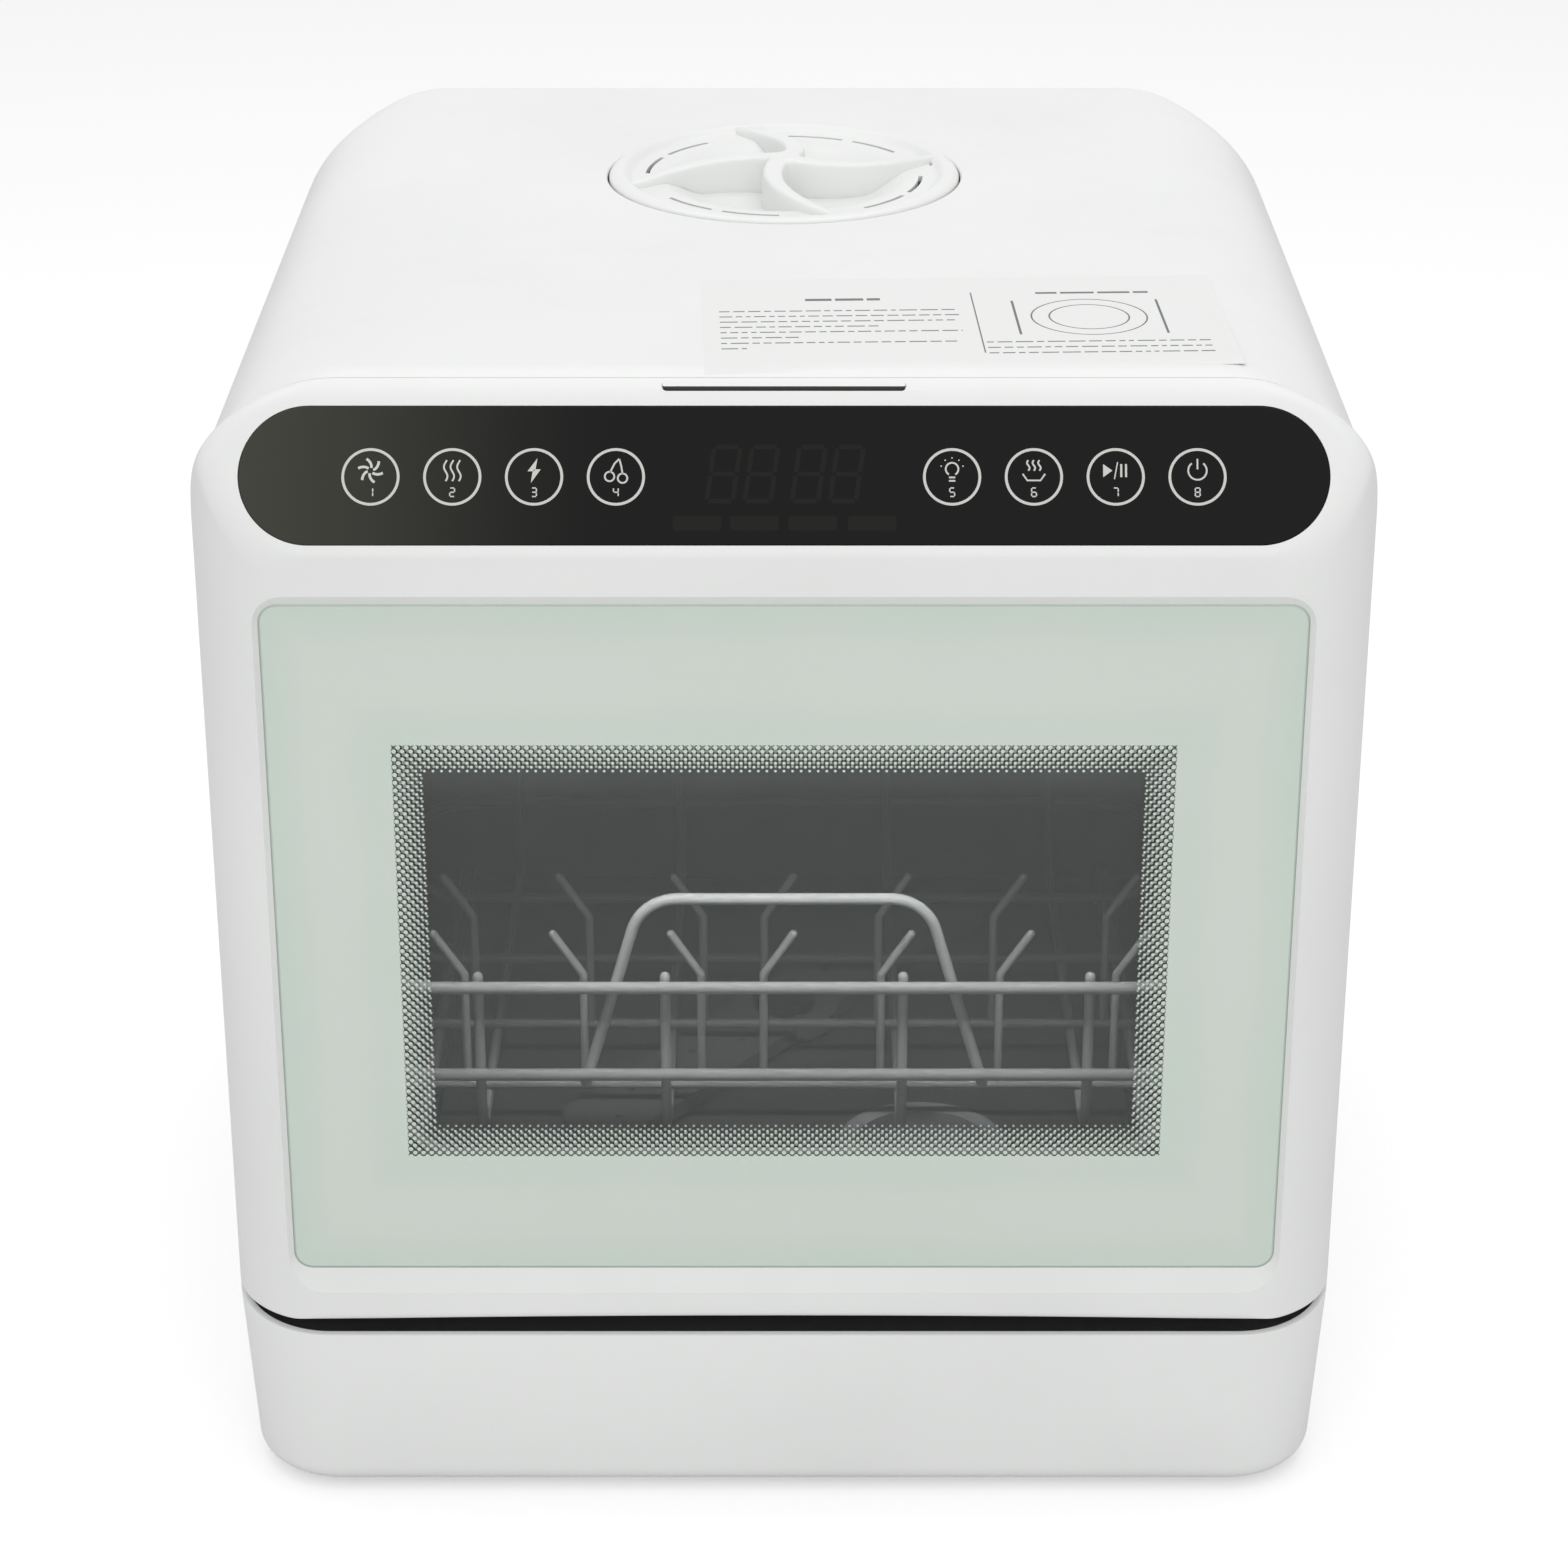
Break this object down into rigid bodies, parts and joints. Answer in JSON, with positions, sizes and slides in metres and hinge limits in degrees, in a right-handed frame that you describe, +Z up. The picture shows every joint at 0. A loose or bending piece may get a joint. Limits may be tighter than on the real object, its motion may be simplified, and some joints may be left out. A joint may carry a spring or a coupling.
{
  "type": "countertop dishwasher",
  "caption": "Box-shaped countertop dishwasher with a drop-down glass door, tilted touch panel, pull-out wire basket, built-in water tank and a pinwheel fill cap.",
  "frame": {"origin": "on the table, under the middle of the machine's box", "axes": "+X to the machine's left hand side as seen from behind, which is right as seen from the front; +Y from the door to the back wall; +Z up"},
  "size_m": [0.42, 0.435, 0.453],
  "materials": {
    "white_shell": "satin gloss injection moulded",
    "grey_panel": "fine matt",
    "dark_tub": "dark grey, satin",
    "mint_glass": "tempered, printed pale mint border with a dotted edge round the window",
    "clear_glass": "clear tempered",
    "black_lens": "high gloss",
    "black_plastic": "matt",
    "grey_rubber": "soft",
    "steel": "zinc plated or stainless",
    "coated_wire": "grey nylon coating on steel wire",
    "grey_plastic": "satin",
    "tank_plastic": "milky polypropylene",
    "float_plastic": "foam float",
    "circuit_board": "solder resist green"
  },
  "bodies": {
    "cabinet": {"base_tub": "white_shell", "rubber_feet": "grey_rubber", "gap_strip": "black_plastic", "chassis_plate": "steel", "cabinet_wrap": "white_shell", "back_panel": "grey_panel", "back_screws": "steel", "wash_tub": "dark_tub", "tub_seal": "grey_rubber", "hinge_brackets": "steel", "latch_strike": "steel", "door_switch": "black_plastic", "spray_hub": "steel", "riser_pipe": "grey_plastic", "flow_heater": "steel", "sump": "grey_plastic", "wash_pump_housing": "black_plastic", "wash_motor": "steel", "drain_pump": "black_plastic", "drain_hose": "grey_plastic", "drain_connector": "grey_plastic", "feed_valve": "grey_panel", "tap_connector": "steel", "cord_gland": "black_plastic", "water_tank": "tank_plastic", "fill_funnel": "grey_panel", "blower_housing": "black_plastic", "power_board": "circuit_board"},
    "door": {"door_frame": "white_shell", "door_glass": "mint_glass", "door_inner_panel": "grey_panel", "inner_window": "clear_glass", "window_seal": "grey_rubber", "door_screws": "steel", "control_lens": "black_lens", "control_board": "circuit_board", "display_module": "black_lens", "touch_springs": "steel", "hinge_pins": "steel", "latch_pin": "steel", "release_springs": "steel"},
    "release_bar": {"release_bar": "white_shell"},
    "latch": {"latch_hook": "black_plastic"},
    "basket": {"basket_upper_rail": "coated_wire", "basket_lower_rail": "coated_wire", "basket_hoops": "coated_wire", "basket_cross_hoops": "coated_wire", "basket_runners": "coated_wire", "basket_front_tines": "coated_wire", "basket_rear_tines": "coated_wire", "basket_handle": "coated_wire"},
    "spray_arm": {"spray_arm": "steel", "arm_nut": "black_plastic"},
    "filter": {"filter_cup": "grey_plastic"},
    "wash_impeller": {"wash_impeller": "black_plastic"},
    "drain_impeller": {"drain_impeller": "black_plastic"},
    "tank_float": {"tank_float": "float_plastic"},
    "cap_seal": {"cap_seal": "grey_rubber"},
    "fill_cap": {"fill_cap": "white_shell"},
    "blower_wheel": {"blower_wheel": "steel"}
  },
  "joints": [
    {"name": "door_hinge", "type": "hinge", "parent": "cabinet", "child": "door", "pos_m": [0, -0.2095, 0.0845], "axis": [1, 0, 0], "range_deg": [0, 90]},
    {"name": "basket_slide", "type": "slide", "parent": "cabinet", "child": "basket", "axis": [0, -1, 0], "range_m": [0, 0.1]},
    {"name": "release_press", "type": "slide", "parent": "door", "child": "release_bar", "axis": [0, 0, -1], "range_m": [0, 0.0025], "stiffness_N_per_m": 800, "springref_m": -0.002, "deforming": ["release_springs"]},
    {"name": "latch_turn", "type": "hinge", "parent": "door", "child": "latch", "pos_m": [0, -0.1935, 0.404], "axis": [-1, 0, 0], "range_deg": [0, 24]},
    {"name": "spray_spin", "type": "hinge", "parent": "cabinet", "child": "spray_arm", "pos_m": [0, -0.0345, 0.116], "axis": [0, 0, 1], "continuous": true},
    {"name": "filter_turn", "type": "hinge", "parent": "cabinet", "child": "filter", "pos_m": [0.054, -0.1385, 0.11], "axis": [0, 0, 1], "range_deg": [0, 45]},
    {"name": "wash_pump_spin", "type": "hinge", "parent": "cabinet", "child": "wash_impeller", "pos_m": [0.054, -0.1385, 0.05], "axis": [0, 0, 1], "continuous": true},
    {"name": "drain_pump_spin", "type": "hinge", "parent": "cabinet", "child": "drain_impeller", "pos_m": [0.122, -0.1385, 0.094], "axis": [1, 0, 0], "continuous": true},
    {"name": "float_rise", "type": "slide", "parent": "cabinet", "child": "tank_float", "axis": [0, 0, 1], "range_m": [0, 0.18]},
    {"name": "cap_lift", "type": "slide", "parent": "cabinet", "child": "cap_seal", "axis": [0, 0, 1], "range_m": [0, 0.04]},
    {"name": "cap_turn", "type": "hinge", "parent": "cap_seal", "child": "fill_cap", "pos_m": [0, 0.0695, 0.437], "axis": [0, 0, 1], "continuous": true},
    {"name": "blower_spin", "type": "hinge", "parent": "cabinet", "child": "blower_wheel", "pos_m": [-0.11, -0.0955, 0.406], "axis": [0, 0, 1], "continuous": true}
  ],
  "couplings": [
    {"joint": "basket_slide", "follows": "door_hinge", "m_per_rad": 0.063661},
    {"joint": "latch_turn", "follows": "release_press", "rad_per_m": 167.55}
  ]
}
